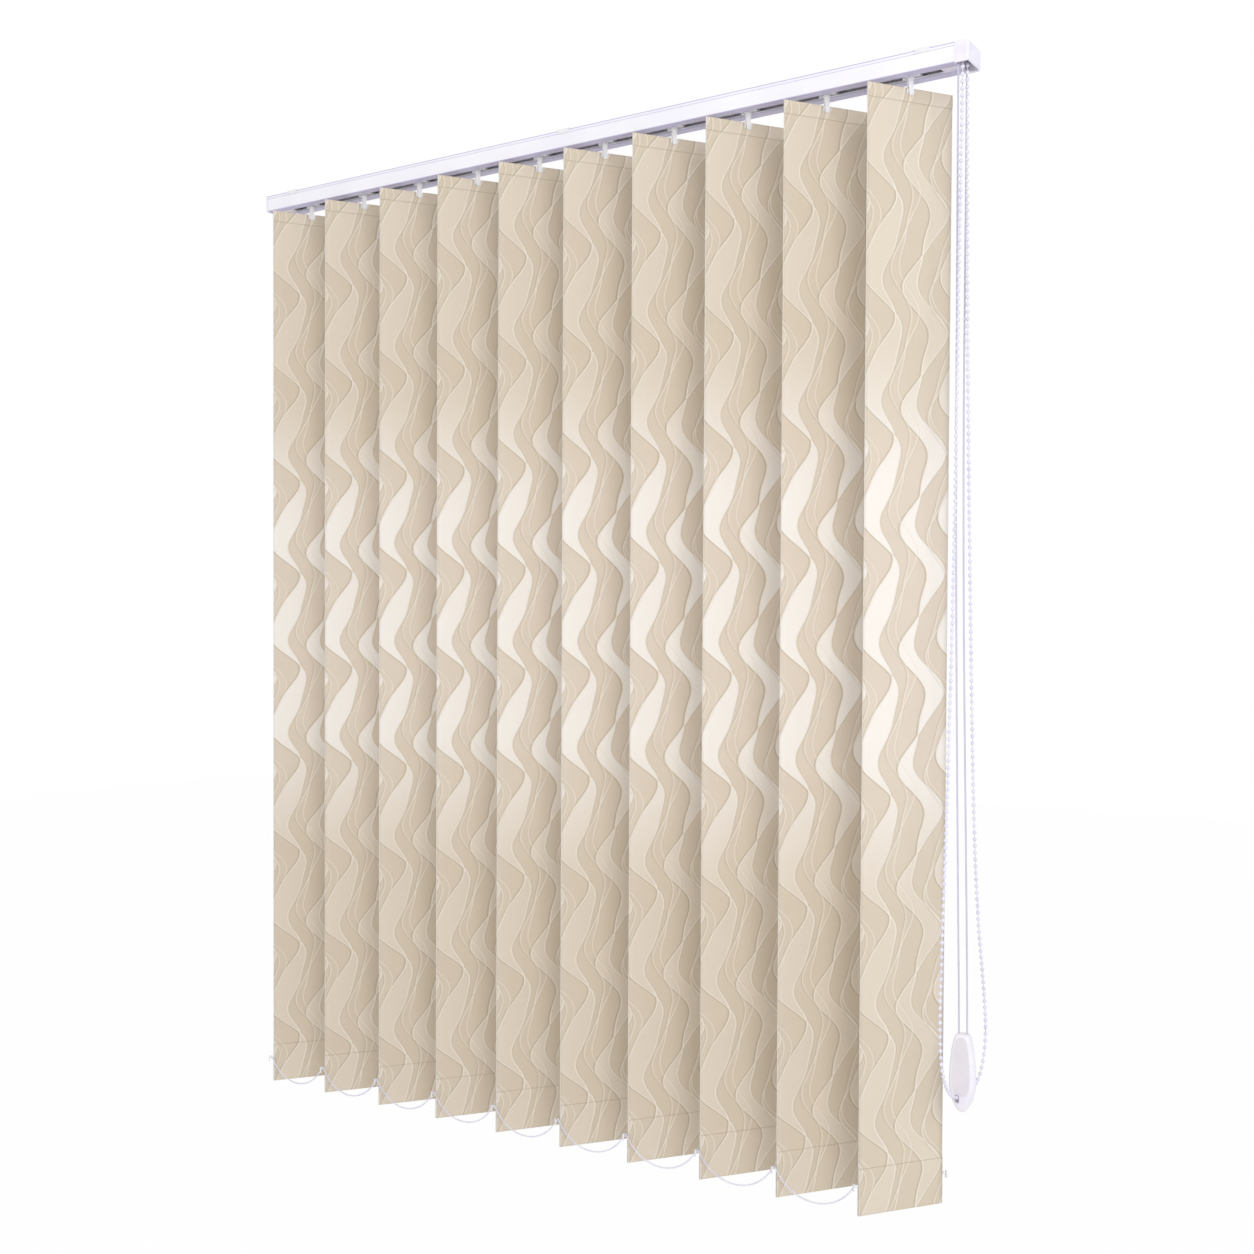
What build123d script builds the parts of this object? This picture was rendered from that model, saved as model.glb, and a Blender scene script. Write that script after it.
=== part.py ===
from build123d import *
import math
import os

# Vertical blind: ten fabric louvres hung from a slotted aluminium headrail.
# Millimetres, +Z up. +X runs along the rail to the control end, -Y faces the room.
# The origin is the middle of the ceiling face, on top of the middle ceiling clip.

# Louvres
louvre_count = 10
louvre_width = 127.0
louvre_pitch = 118.0
louvre_drop = 1450.0
rest_angle = 55.0
fabric_thickness = 0.6
pocket_height = 18.5
hem_height = 62.0
seam_height = 1.6
layer_clearance = 0.1
notch_width = 11.0
notch_depth = 7.5
notch_floor = 8.5

# Headrail
rail_width = 44.0
rail_height = 25.0
rail_wall = 1.3
rail_left = -610.0
rail_right = 598.0
slot_width = 16.0
lip_height = 1.5
rib_width = 2.0
rib_thickness = 1.2
rib_above_floor = 8.3
screw_channel_width = 12.0
screw_channel_depth = 2.0
clip_groove_height = 0.8
clip_groove_depth = 0.5
clip_groove_below_top = 4.0

# Ceiling clips
clip_inset = 43.0
clip_length = 25.0
clip_thickness = 1.5
clip_lip_thickness = 0.9
clip_lip_length = 20.0
clip_hook_depth = 0.4
clip_hole_radius = 2.3
clip_corner = 2.0

# End caps
cap_overlap = 0.7
cap_chamfer = 2.0
cap_wall = 1.5
idle_cap_length = 6.5
control_cap_length = 18.0
idle_plug_length = 36.0
control_plug_length = 26.0
bridge_wall = 1.0
plug_clearance = 0.3

# Tilt rod and drive. The rod runs on the room's side of the louvres' axes.
drive_side = -1
rod_radius = 2.5
rod_flutes = 4
flute_width = 1.0
flute_depth = 0.5
rod_end_gap = 8.0
rod_end_reach = 1.0
worm_radius = 4.2
worm_length = 13.0
worm_groove_width = 6.0
worm_groove_depth = 0.7
gear_radius = 4.4
gear_root_radius = 3.6
gear_teeth = 8
gear_height = 7.0
mesh_clearance = 0.4
running_clearance = 0.05
cut_margin = 1.0
drive_height = 11.5

# Carrier trucks
truck_length = 24.0
truck_wall = 1.6
truck_half_width = 14.6
wheel_radius = 3.8
wheel_width = 3.6
wheel_sides = 8
wheel_base = 14.0
wheel_gap = 0.8
axle_radius = 1.2
boss_radius = 5.2
boss_drop = 1.1
rivet_radius = 2.4
rivet_hole_radius = 1.2
rivet_height = 4.0
rivet_offset = 8.6
spacer_width = 5.0
spacer_thickness = 0.4
spacer_step = 0.6
spacer_levels = 6
spacer_slot_clearance = 0.25
spacer_play = 0.2
strip_setback = 1.0
spacer_roof = 0.6
spacer_wall = 1.3
cord_gap = 0.4
gear_gap = 0.4
shelf_rise = 0.5
lip_clearance = 0.7

# Hook stems and hanger cards
stem_radius = 2.6
collar_radius = 4.0
collar_height = 0.9
neck_width = 7.0
hook_tip_width = 4.5
hook_length = 9.0
prong_thickness = 0.8
cross_bar_width = 5.0
cross_bar_height = 2.0
card_thickness = 0.8
card_width = 110.0
card_height = 15.0
card_slot_width = 7.0
card_slot_height = 3.0
neck_length = 12.5
neck_clearance = 1.5
bar_depth = 3.5

# Bottom weights and stabiliser chains
weight_thickness = 1.6
weight_width = 122.0
weight_height = 43.0
pin_height = 39.0
pin_radius = 0.8
pin_beyond_seat = 4.0
knob_width = 3.2
knob_drop = 6.0
knob_rise = 3.5
knob_length = 1.5
chain_seat_radius = 67.0
stabiliser_radius = 1.0
stabiliser_sag = 33.0
chain_gap = 0.3

# Control chain and its wheel
bead_pitch = 9.0
bead_radius = 2.7
wheel_bead_count = 6
control_chain_radius = 2.0
chain_end_gap = 0.2
chain_wheel_width = 5.8
wheel_flange = 1.3
chain_offset = 9.0
chain_groove_clearance = 0.15

# Draw cord and its pulleys
cord_radius = 1.2
cord_sides = 5
cord_turn_slack = 0.05
cord_end_gap = 1.0
cord_straight_drop = 90.0
cord_middle_height = -600.0
cord_bend_rise = 150.0
cord_exit_rise = 30.0
cord_side = 15.0
cord_below_rail_top = 6.5
guide_pulley_radius = 6.0
guide_pulley_width = 3.0
pulley_pin_radius = 1.5
pulley_clearance = 0.08
pulley_rim = 0.8
idle_pulley_gap = 1.3
idle_pulley_flange = 0.7
idle_pulley_sides = 16
guide_pulley_sides = 10
strand_offset = 2.5

# Cord weight
cord_weight_top = -1247.0
cord_weight_length = 100.0
cord_weight_profile = ((0, 9.0), (8, 11.2), (20, 13.8), (32, 15.4), (45, 16.3), (58, 16.9),
                       (68, 16.8), (77, 14.9), (86, 12.2), (95, 7.2), (100, 2.0))
cord_weight_thickness = 16.0
cord_weight_bevel = 3.0
cord_weight_tip_half = 0.8
cord_weight_tip_inset = 1.5
cord_hole_radius = 1.3
cord_hole_depth = 8.0
cord_weight_offset = 14.0
cord_weight_side = 4.5
chain_eye_drop = 83.0
chain_eye_width = 6.4
chain_eye_height = 11.0
cord_spacing = 11.0

# Heights and places that follow from the sizes above
rail_top = -clip_thickness
rail_bottom = rail_top - rail_height
rail_floor = rail_bottom + rail_wall
rail_inner = rail_width / 2 - rail_wall
clip_spacing = rail_right - clip_inset
channel_bottom = rail_top - screw_channel_depth - rail_wall
rod_side = drive_side * (worm_radius + gear_radius + mesh_clearance)
rod_height = rail_bottom + drive_height
cord_height = rail_top - cord_below_rail_top
pocket_inner = card_thickness + 2 * layer_clearance
pocket_outer = pocket_inner + 2 * fabric_thickness
hem_inner = weight_thickness + 2 * layer_clearance
hem_outer = hem_inner + 2 * fabric_thickness
louvre_top = rail_bottom - neck_length
louvre_bottom = louvre_top - louvre_drop
pin_level = louvre_bottom + pin_height
pin_reach = chain_seat_radius + pin_beyond_seat
wheel_height = rail_floor + wheel_radius
wheel_inner_side = truck_half_width + wheel_gap
truck_floor = rail_floor + lip_height + lip_clearance
boss_bottom = rail_bottom - boss_drop
chain_plane = rail_right + chain_offset
strand_plane = rail_right + strand_offset
wheel_pitch_radius = bead_pitch * wheel_bead_count / (2 * math.pi)
cap_top = rail_top + cap_overlap
cap_bottom = rail_bottom - cap_overlap
cap_side = rail_width / 2 + cap_overlap
weight_plane = rail_right + cord_weight_offset


def louvre_x(number):
    """Place along the rail of a louvre's axis, counted from the idle end."""
    return (number - (louvre_count + 1) / 2) * louvre_pitch


def block(x_range, y_range, z_range, mode=Mode.ADD):
    """Box between two values along each axis."""
    low = (x_range[0], y_range[0], z_range[0])
    high = (x_range[1], y_range[1], z_range[1])
    middle = tuple((a + b) / 2 for a, b in zip(low, high))
    with Locations(middle):
        Box(*(b - a for a, b in zip(low, high)), mode=mode)


def bar(start, direction, radius, length, sides=12, mode=Mode.ADD):
    """Many-sided bar or bore from a point: a bar's corners and a bore's flats lie on the radius."""
    with BuildSketch(Plane(start, z_dir=direction)) as section:
        RegularPolygon(radius, sides, major_radius=(mode == Mode.ADD))
    extrude(section.sketch, amount=length, mode=mode)


def across(near, far):
    """Two distances from the rail's middle, on the side of the tilt rod, as a sorted pair."""
    return sorted((drive_side * near, drive_side * far))


def write(piece, name):
    """Label a finished piece and write its file."""
    piece.label = name
    export_step(piece, f"parts/{name}.step")


os.makedirs("parts", exist_ok=True)

# Headrail: one extruded channel. Its slot lips keep the wheels on the floor, its side ribs
# keep them down, and the recess in its top leaves room for the ceiling screws' heads.
rail_middle = (rail_top + rail_bottom) / 2
with BuildPart() as headrail:
    with BuildSketch(Plane.YZ.offset(rail_left)):
        with Locations((0, rail_middle)):
            Rectangle(rail_width, rail_height)
            Rectangle(2 * rail_inner, rail_height - 2 * rail_wall, mode=Mode.SUBTRACT)
        with Locations((0, rail_bottom)):
            Rectangle(slot_width, 4 * rail_wall, mode=Mode.SUBTRACT)
        for side in (-1, 1):
            with Locations((side * (slot_width + rail_wall) / 2, rail_floor + lip_height / 2)):
                Rectangle(rail_wall, lip_height)
            rib_middle = rail_floor + rib_above_floor + rib_thickness / 2
            with Locations((side * (rail_inner - rib_width / 2), rib_middle)):
                Rectangle(rib_width, rib_thickness)
        with Locations((0, (rail_top + channel_bottom) / 2)):
            Rectangle(screw_channel_width + 2 * rail_wall, rail_top - channel_bottom)
        with Locations((0, rail_top - screw_channel_depth / 2)):
            Rectangle(screw_channel_width, screw_channel_depth, mode=Mode.SUBTRACT)
        groove_middle = rail_top - clip_groove_below_top - clip_groove_height / 2
        for side in (-1, 1):
            with Locations((side * (rail_width - clip_groove_depth) / 2, groove_middle)):
                Rectangle(clip_groove_depth, clip_groove_height, mode=Mode.SUBTRACT)
    extrude(amount=rail_right - rail_left)
write(headrail.part, "headrail")

# Ceiling clips: sprung steel saddles with a screw hole. Their two rounded lips grip the
# rail by the grooves in its front and back.
lip_bottom = groove_middle - clip_groove_height / 2 + layer_clearance
lip_outside = rail_width / 2 + clip_lip_thickness
with BuildPart() as clip_form:
    with BuildSketch(Plane.XY.offset(rail_top)) as clip_plate:
        Rectangle(clip_length, 2 * lip_outside)
        chamfer(clip_plate.vertices(), length=clip_corner)
        Circle(clip_hole_radius, mode=Mode.SUBTRACT)
    extrude(amount=clip_thickness)
    for side in (-1, 1):
        lip_sides = sorted((side * rail_width / 2, side * lip_outside))
        hook_sides = sorted((side * (rail_width / 2 - clip_hook_depth), side * lip_outside))
        lip_ends = (-clip_lip_length / 2, clip_lip_length / 2)
        block(lip_ends, lip_sides, (lip_bottom, rail_top))
        block(lip_ends, hook_sides, (lip_bottom, groove_middle))
    lip_corners = clip_form.edges().filter_by(Axis.Y).group_by(Axis.Z)[0]
    chamfer(lip_corners, length=clip_hook_depth)
for number in range(1, 4):
    with BuildPart() as ceiling_clip:
        with Locations(((number - 2) * clip_spacing, 0, 0)):
            add(clip_form.part)
    write(ceiling_clip.part, f"ceiling_clip_{number}")


def cap_outline(length, start):
    """Closed end of the rail, a little proud of it, with bevelled outer edges."""
    with BuildPart() as shape:
        with BuildSketch(Plane.YZ.offset(start)):
            with Locations((0, (cap_top + cap_bottom) / 2)):
                Rectangle(2 * cap_side, cap_top - cap_bottom)
        extrude(amount=length)
        outer = shape.faces().sort_by(Axis.X)[-1 if length > 0 else 0]
        chamfer(outer.edges(), length=cap_chamfer)
    return shape.part


# Idle end cap: a moulded cap whose plug carries the rod's end and the idle pulley's post.
plug_side = rail_inner - rib_width - plug_clearance
plug_bottom = rail_floor + lip_height + layer_clearance
idle_pulley_x = rail_left + cord_side + cord_radius + idle_pulley_gap
idle_pulley_height = 2 * cord_radius + 2 * idle_pulley_flange
tray_top = cord_height - idle_pulley_height / 2 - chain_gap
with BuildPart() as idle_end_cap:
    add(cap_outline(-idle_cap_length, rail_left))
    block((rail_left, rail_left + idle_plug_length), (-plug_side, plug_side), (plug_bottom, tray_top))
    post_length = channel_bottom - layer_clearance - tray_top
    bar((idle_pulley_x, 0, tray_top), (0, 0, 1), pulley_pin_radius, post_length)
    bar((rail_left, rod_side, rod_height), (1, 0, 0), rod_radius + running_clearance, idle_plug_length,
        mode=Mode.SUBTRACT)
write(idle_end_cap.part, "idle_end_cap")

# Control housing: an open-bottomed cap over the chain wheel, with a plug in the rail whose
# cheeks carry the two guide pulleys and the tilt rod.
plug_left = rail_right - control_plug_length
plug_top = channel_bottom - layer_clearance
pulley_x = strand_plane - guide_pulley_radius
pulley_z = cord_height - guide_pulley_radius
pulley_outer = guide_pulley_radius + pulley_rim
cheek_gap = guide_pulley_width + 2 * chain_gap
cap_end = rail_right + control_cap_length
rod_right = chain_plane + chain_wheel_width / 2 + rod_end_reach
chain_reach = abs(rod_side) + wheel_pitch_radius + bead_radius + chain_gap
with BuildPart() as control_housing:
    add(cap_outline(control_cap_length, rail_right))
    block((rail_right + bridge_wall, cap_end - cap_wall), across(-plug_side, chain_reach),
          (cap_bottom, cap_top - cap_wall), mode=Mode.SUBTRACT)
    block((plug_left, rail_right), (-plug_side, plug_side), (plug_bottom, plug_top))
    for side in (-1, 1):
        pocket_sides = sorted((side * (cord_side - cheek_gap / 2), side * (cord_side + cheek_gap / 2)))
        block((pulley_x - pulley_outer - chain_gap, rail_right + bridge_wall), pocket_sides,
              (pulley_z - pulley_outer - chain_gap, plug_top), mode=Mode.SUBTRACT)
        block((plug_left, rail_right), pocket_sides,
              (cord_height - cord_radius - chain_gap, plug_top), mode=Mode.SUBTRACT)
        bar((pulley_x, min(pocket_sides), pulley_z), (0, 1, 0), pulley_pin_radius, cheek_gap)
    bar((plug_left, rod_side, rod_height), (1, 0, 0), rod_radius + running_clearance, rod_right - plug_left,
        mode=Mode.SUBTRACT)
write(control_housing.part, "control_housing")

# Tilt rod: fluted aluminium, through both caps and every truck. The chain wheel sits on its end.
rod_left = rail_left + rod_end_gap
with BuildPart() as tilt_rod:
    with BuildSketch(Plane.YZ.offset(rod_left)):
        with Locations((rod_side, rod_height)):
            Circle(rod_radius)
            with PolarLocations(rod_radius, rod_flutes):
                Rectangle(2 * flute_depth, flute_width, mode=Mode.SUBTRACT)
    extrude(amount=rod_right - rod_left)
write(tilt_rod.part, "tilt_rod")

# Chain wheel: two flanges and between them a hub with one flat for each bead of its turn.
groove_radius = control_chain_radius + chain_groove_clearance
hub_radius = wheel_pitch_radius - groove_radius
with BuildPart() as chain_wheel:
    wheel_left = (chain_plane - chain_wheel_width / 2, rod_side, rod_height)
    bar(wheel_left, (1, 0, 0), hub_radius + wheel_flange, chain_wheel_width)
    with BuildSketch(Plane.YZ.offset(chain_plane)):
        with Locations((rod_side, rod_height)):
            Circle(2 * wheel_pitch_radius)
            RegularPolygon(hub_radius, wheel_bead_count, mode=Mode.SUBTRACT)
    extrude(amount=groove_radius, both=True, mode=Mode.SUBTRACT)
    bar(wheel_left, (1, 0, 0), rod_radius, chain_wheel_width, mode=Mode.SUBTRACT)
write(chain_wheel.part, "chain_wheel")


def pulley(radius, width, sides):
    """Grooved pulley about its own Z axis, with the cord's centre line at the given radius."""
    root = radius - cord_radius - layer_clearance
    groove = 2 * cord_radius + 2 * layer_clearance
    with BuildPart() as form:
        with BuildSketch():
            RegularPolygon(radius + pulley_rim, sides)
        extrude(amount=width / 2, both=True)
        with BuildSketch():
            Circle(2 * radius)
            RegularPolygon(root, sides, mode=Mode.SUBTRACT)
        extrude(amount=groove / 2, both=True, mode=Mode.SUBTRACT)
        bar((0, 0, -width / 2), (0, 0, 1), pulley_pin_radius + pulley_clearance, width,
            mode=Mode.SUBTRACT)
    return form.part


with BuildPart() as idle_pulley:
    with Locations((idle_pulley_x, 0, cord_height)):
        add(pulley(cord_side, idle_pulley_height, idle_pulley_sides))
write(idle_pulley.part, "idle_pulley")

for side, name in ((-1, "guide_pulley_front"), (1, "guide_pulley_back")):
    with BuildPart() as guide_pulley:
        with Locations(Location((pulley_x, side * cord_side, pulley_z), (90, 0, 0))):
            add(pulley(guide_pulley_radius, guide_pulley_width, guide_pulley_sides))
    write(guide_pulley.part, name)

# Truck housing, about its louvre's axis: the lower block takes the four axles and the boss
# that guides the hook stem through the rail's slot, the upper block holds the worm, and the
# sleeve at the back guides the spacer strips.
gear_top = rod_height + gear_height / 2
gear_bottom = rod_height - gear_height / 2
shelf_height = gear_bottom + shelf_rise
upper_reach = abs(rod_side) + worm_radius + truck_wall
truck_top = cord_height - cord_radius - cord_gap
slot_height = spacer_levels * spacer_step + spacer_play
slot_top = truck_top - spacer_roof
slot_bottom = slot_top - slot_height
strip_outer = truck_half_width - spacer_wall - spacer_slot_clearance
strip_inner = strip_outer - spacer_width
half_length = truck_length / 2
strip_half = half_length - strip_setback
chamber_floor = gear_bottom - layer_clearance
with BuildPart() as truck_form:
    block((-half_length, half_length), (-truck_half_width, truck_half_width), (truck_floor, shelf_height))
    block((-half_length, half_length), across(-gear_radius - truck_wall, upper_reach),
          (shelf_height, truck_top))
    block((-half_length, half_length), across(-truck_half_width, -gear_radius - truck_wall),
          (slot_bottom - spacer_roof, truck_top))
    bar((0, 0, boss_bottom), (0, 0, 1), boss_radius, truck_floor - boss_bottom, sides=8)
    rivet_bottom = (-rivet_offset, 0, truck_floor - rivet_height)
    bar(rivet_bottom, (0, 0, 1), rivet_radius, rivet_height, sides=8)
    bar(rivet_bottom, (0, 0, 1), rivet_hole_radius, 2 * rivet_height, sides=6, mode=Mode.SUBTRACT)
    for end in (-1, 1):
        for side in (-1, 1):
            axle_root = (end * wheel_base / 2, side * (truck_half_width - cut_margin), wheel_height)
            wheel_root = (end * wheel_base / 2, side * wheel_inner_side, wheel_height)
            bar(axle_root, (0, side, 0), axle_radius, wheel_gap + cut_margin, sides=4)
            bar(wheel_root, (0, side, 0), wheel_radius, wheel_width, sides=wheel_sides)
    gear_space = gear_radius + gear_gap
    block((-gear_space, gear_space), (-gear_space, gear_space), (chamber_floor, truck_top),
          mode=Mode.SUBTRACT)
    bar((0, 0, boss_bottom), (0, 0, 1), stem_radius + running_clearance, gear_top - boss_bottom,
        sides=8, mode=Mode.SUBTRACT)
    worm_space = worm_length / 2 + layer_clearance
    block((-worm_space, worm_space), across(0, abs(rod_side) + worm_radius + gear_gap),
          (rod_height - worm_radius - gear_gap, truck_top), mode=Mode.SUBTRACT)
    rod_space = rod_radius + running_clearance
    block((-truck_length, truck_length), across(abs(rod_side) - rod_space, abs(rod_side) + rod_space),
          (rod_height - rod_space, truck_top), mode=Mode.SUBTRACT)
    block((-truck_length, truck_length),
          across(-strip_outer - spacer_slot_clearance, -strip_inner + spacer_slot_clearance),
          (slot_bottom, slot_top), mode=Mode.SUBTRACT)

# Worm: slides along the rod with its truck, with a groove where it drives the gear.
with BuildPart() as worm_form:
    worm_left = (-worm_length / 2, 0, 0)
    bar(worm_left, (1, 0, 0), worm_radius, worm_length, sides=6)
    block((-worm_groove_width / 2, worm_groove_width / 2),
          across(-worm_radius, worm_groove_depth - worm_radius), (-worm_radius, worm_radius),
          mode=Mode.SUBTRACT)
    bar(worm_left, (1, 0, 0), rod_radius + running_clearance, worm_length, sides=6, mode=Mode.SUBTRACT)

for number in range(1, louvre_count + 1):
    with BuildPart() as carrier:
        with Locations((louvre_x(number), 0, 0)):
            add(truck_form.part)
        if number > 1:
            level = number % spacer_levels
            strip_middle = slot_bottom + spacer_play / 2 + spacer_step * (level + 0.5)
            strip_z = (strip_middle - spacer_thickness / 2, strip_middle + spacer_thickness / 2)
            strip_x = (louvre_x(number - 1) - strip_half, louvre_x(number) + strip_half)
            root_x = (louvre_x(number) - half_length / 2, louvre_x(number) + half_length / 2)
            block(strip_x, across(-strip_outer, -strip_inner), strip_z)
            block(root_x, across(-truck_half_width, -strip_outer), strip_z)
        with Locations((louvre_x(number), rod_side, rod_height)):
            add(worm_form.part)
    write(carrier.part, f"carrier_{number:02d}")

# Hook stem and card, about the louvre's axis: the gear turns in the truck, the collar keeps
# the stem in its boss, and two prongs straddle the card that hangs on the bar between them.
collar_top = boss_bottom - layer_clearance
neck_bottom = louvre_top + neck_clearance
prong_bottom = louvre_top - hook_length
prong_inner = pocket_outer / 2 + layer_clearance
prong_outer = prong_inner + prong_thickness
bar_top = louvre_top - bar_depth
with BuildPart() as stem_form:
    tooth_turn = math.pi / gear_teeth
    teeth = []
    for step in range(2 * gear_teeth):
        reach = gear_radius if step % 2 else gear_root_radius
        teeth.append((reach * math.cos(step * tooth_turn), reach * math.sin(step * tooth_turn)))
    with BuildSketch(Plane.XY.offset(gear_bottom)):
        Polygon(*teeth, align=None)
    extrude(amount=gear_height)
    bar((0, 0, collar_top), (0, 0, 1), stem_radius, gear_bottom - collar_top, sides=8)
    bar((0, 0, collar_top), (0, 0, -1), collar_radius, collar_height, sides=8)
    with BuildSketch(Plane.XZ):
        Polygon((-neck_width / 2, collar_top), (neck_width / 2, collar_top),
                (neck_width / 2, neck_bottom), (hook_tip_width / 2, prong_bottom),
                (-hook_tip_width / 2, prong_bottom), (-neck_width / 2, neck_bottom), align=None)
    extrude(amount=prong_outer, both=True)
    block((-neck_width, neck_width), (-prong_inner, prong_inner), (prong_bottom - cut_margin, neck_bottom),
          mode=Mode.SUBTRACT)
    block((-cross_bar_width / 2, cross_bar_width / 2), (-prong_inner, prong_inner),
          (bar_top - cross_bar_height, bar_top))

card_top = louvre_top - fabric_thickness - chain_gap
with BuildPart() as card_form:
    block((-card_width / 2, card_width / 2), (-card_thickness / 2, card_thickness / 2),
          (card_top - card_height, card_top))
    block((-card_slot_width / 2, card_slot_width / 2), (-card_thickness, card_thickness),
          (bar_top - card_slot_height, bar_top + running_clearance), mode=Mode.SUBTRACT)

# Louvre: one strip of woven fabric, folded over at the top and welded into a pocket for the
# card, and folded up at the bottom into a hem pocket for the weight.
half_width = louvre_width / 2


def folded_section(width, height, fold):
    """Outline of a flat pocket of cloth, bevelled at its folded end (1 for its top, -1 its bottom)."""
    half, end = width / 2, fold * height / 2
    bend = end - fold * fabric_thickness
    Polygon((-half, -end), (half, -end), (half, bend), (half - fabric_thickness, end),
            (fabric_thickness - half, end), (-half, bend), align=None)


with BuildPart() as louvre_form:
    with BuildSketch(Plane.YZ):
        with Locations((0, (louvre_top + louvre_bottom) / 2)):
            Rectangle(fabric_thickness, louvre_drop - fabric_thickness)
        with Locations((0, louvre_top - pocket_height / 2)):
            folded_section(pocket_outer, pocket_height, 1)
        with Locations((0, louvre_bottom + hem_height / 2)):
            folded_section(hem_outer, hem_height, -1)
        pocket_space = pocket_height - fabric_thickness - seam_height
        with Locations((0, louvre_top - fabric_thickness - pocket_space / 2)):
            Rectangle(pocket_inner, pocket_space, mode=Mode.SUBTRACT)
        hem_space = hem_height - fabric_thickness - seam_height
        with Locations((0, louvre_bottom + fabric_thickness + hem_space / 2)):
            Rectangle(hem_inner, hem_space, mode=Mode.SUBTRACT)
    extrude(amount=half_width, both=True)
    with BuildSketch(Plane.XZ):
        with Locations((0, louvre_top)):
            Polygon((-notch_width / 2, cut_margin), (notch_width / 2, cut_margin),
                    (notch_floor / 2, -notch_depth), (-notch_floor / 2, -notch_depth), align=None)
    extrude(amount=pocket_outer, both=True, mode=Mode.SUBTRACT)

# Bottom weight: a flat plate in the hem with a knobbed pin at each end for the chains.
plate_bottom = louvre_bottom + fabric_thickness + chain_gap
with BuildPart() as weight_form:
    block((-weight_width / 2, weight_width / 2), (-weight_thickness / 2, weight_thickness / 2),
          (plate_bottom, louvre_bottom + weight_height))
    for end in (-1, 1):
        pin_root = (end * weight_width / 2, 0, pin_level)
        bar(pin_root, (end, 0, 0), pin_radius, pin_reach - weight_width / 2, sides=4)
        knob_ends = sorted((end * (pin_reach - knob_length), end * pin_reach))
        block(knob_ends, (-knob_width / 2, knob_width / 2),
              (pin_level - knob_drop, pin_level + knob_rise))

for number in range(1, louvre_count + 1):
    place = Location((louvre_x(number), 0, 0), (0, 0, rest_angle))
    with BuildPart() as hanger:
        with Locations(place):
            add(stem_form.part)
            add(card_form.part)
    write(hanger.part, f"hanger_{number:02d}")
    with BuildPart() as louvre:
        with Locations(place):
            add(louvre_form.part)
    write(louvre.part, f"louvre_{number:02d}")
    with BuildPart() as bottom_weight:
        with Locations(place):
            add(weight_form.part)
    write(bottom_weight.part, f"bottom_weight_{number:02d}")

# Stabiliser chains: one in front and one behind, hung over the pins of all the weights.
# Between two pins the chain lies close to a round arc, and a small arc passes over each pin.
seat_dx = chain_seat_radius * math.cos(math.radians(rest_angle))
seat_dy = chain_seat_radius * math.sin(math.radians(rest_angle))
turn_radius = chain_gap + (pin_radius + stabiliser_radius) / math.sin(math.radians(rest_angle))
half_pitch = louvre_pitch / 2
sag_drop = stabiliser_sag + turn_radius
arc_radius = (half_pitch ** 2 + sag_drop ** 2) / (2 * sag_drop) - turn_radius
arc_centre = pin_level + turn_radius - sag_drop + arc_radius
swing = math.atan2(half_pitch, arc_centre - pin_level)
turn_steps = 1
sag_steps = 6


def chain_edge(side, rise):
    """One edge of the chain's outline in its own plane, a distance above its middle line."""
    over_pin = turn_radius + rise
    under_sag = rise - arc_radius
    points = []
    for number in range(1, louvre_count):
        pin_x = louvre_x(number) + side * seat_dx
        next_x = pin_x + louvre_pitch
        middle_x = pin_x + half_pitch
        for steps, centre_x, centre_z, radius, first, last in (
                (turn_steps, pin_x, pin_level, over_pin, 0, swing),
                (sag_steps, middle_x, arc_centre, under_sag, swing, -swing),
                (turn_steps, next_x, pin_level, over_pin, -swing, 0)):
            for step in range(steps):
                angle = first + (last - first) * step / steps
                points.append((centre_x + radius * math.sin(angle), centre_z + radius * math.cos(angle)))
    points.append((louvre_x(louvre_count) + side * seat_dx, pin_level + over_pin))
    return points


for side, name in ((-1, "front_chain"), (1, "back_chain")):
    with BuildPart() as stabiliser:
        with BuildSketch(Plane.XZ.offset(-side * seat_dy)):
            Polygon(*chain_edge(side, stabiliser_radius), *reversed(chain_edge(side, -stabiliser_radius)),
                    align=None)
        extrude(amount=stabiliser_radius, both=True)
    write(stabiliser.part, name)

# Cord weight: a teardrop moulding. The draw cord's ends enter its top, and the control chain
# runs through the slot near its tip.


def teardrop(inset):
    """Outline of the cord weight about its top middle, drawn in by an inset all round."""
    right = []
    for drop, half in cord_weight_profile:
        level = min(max(drop, inset), cord_weight_length - cord_weight_tip_inset * inset)
        right.append((max(half - inset, cord_weight_tip_half), -level))
    return right + [(-half, level) for half, level in reversed(right)]


with BuildPart() as cord_weight:
    half_thickness = cord_weight_thickness / 2
    flat_side = half_thickness - cord_weight_bevel
    for offset, inset in ((-half_thickness, cord_weight_bevel), (-flat_side, 0),
                          (flat_side, 0), (half_thickness, cord_weight_bevel)):
        layer_middle = (weight_plane, cord_weight_side + offset, cord_weight_top)
        with BuildSketch(Plane(layer_middle, (1, 0, 0), (0, -1, 0))):
            Polygon(*teardrop(inset), align=None)
    loft(ruled=True)
    for side in (-1, 1):
        hole_x = weight_plane + side * cord_spacing / 2
        hole_bottom = (hole_x, cord_weight_side, cord_weight_top - cord_hole_depth)
        bar(hole_bottom, (0, 0, 1), cord_hole_radius, cord_hole_depth, sides=6, mode=Mode.SUBTRACT)
    eye_middle = cord_weight_top - chain_eye_drop
    block((chain_plane - chain_eye_width / 2, chain_plane + chain_eye_width / 2),
          (cord_weight_side - cord_weight_thickness, cord_weight_side + cord_weight_thickness),
          (eye_middle - chain_eye_height / 2, eye_middle + chain_eye_height / 2), mode=Mode.SUBTRACT)
write(cord_weight.part, "cord_weight")


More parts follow.
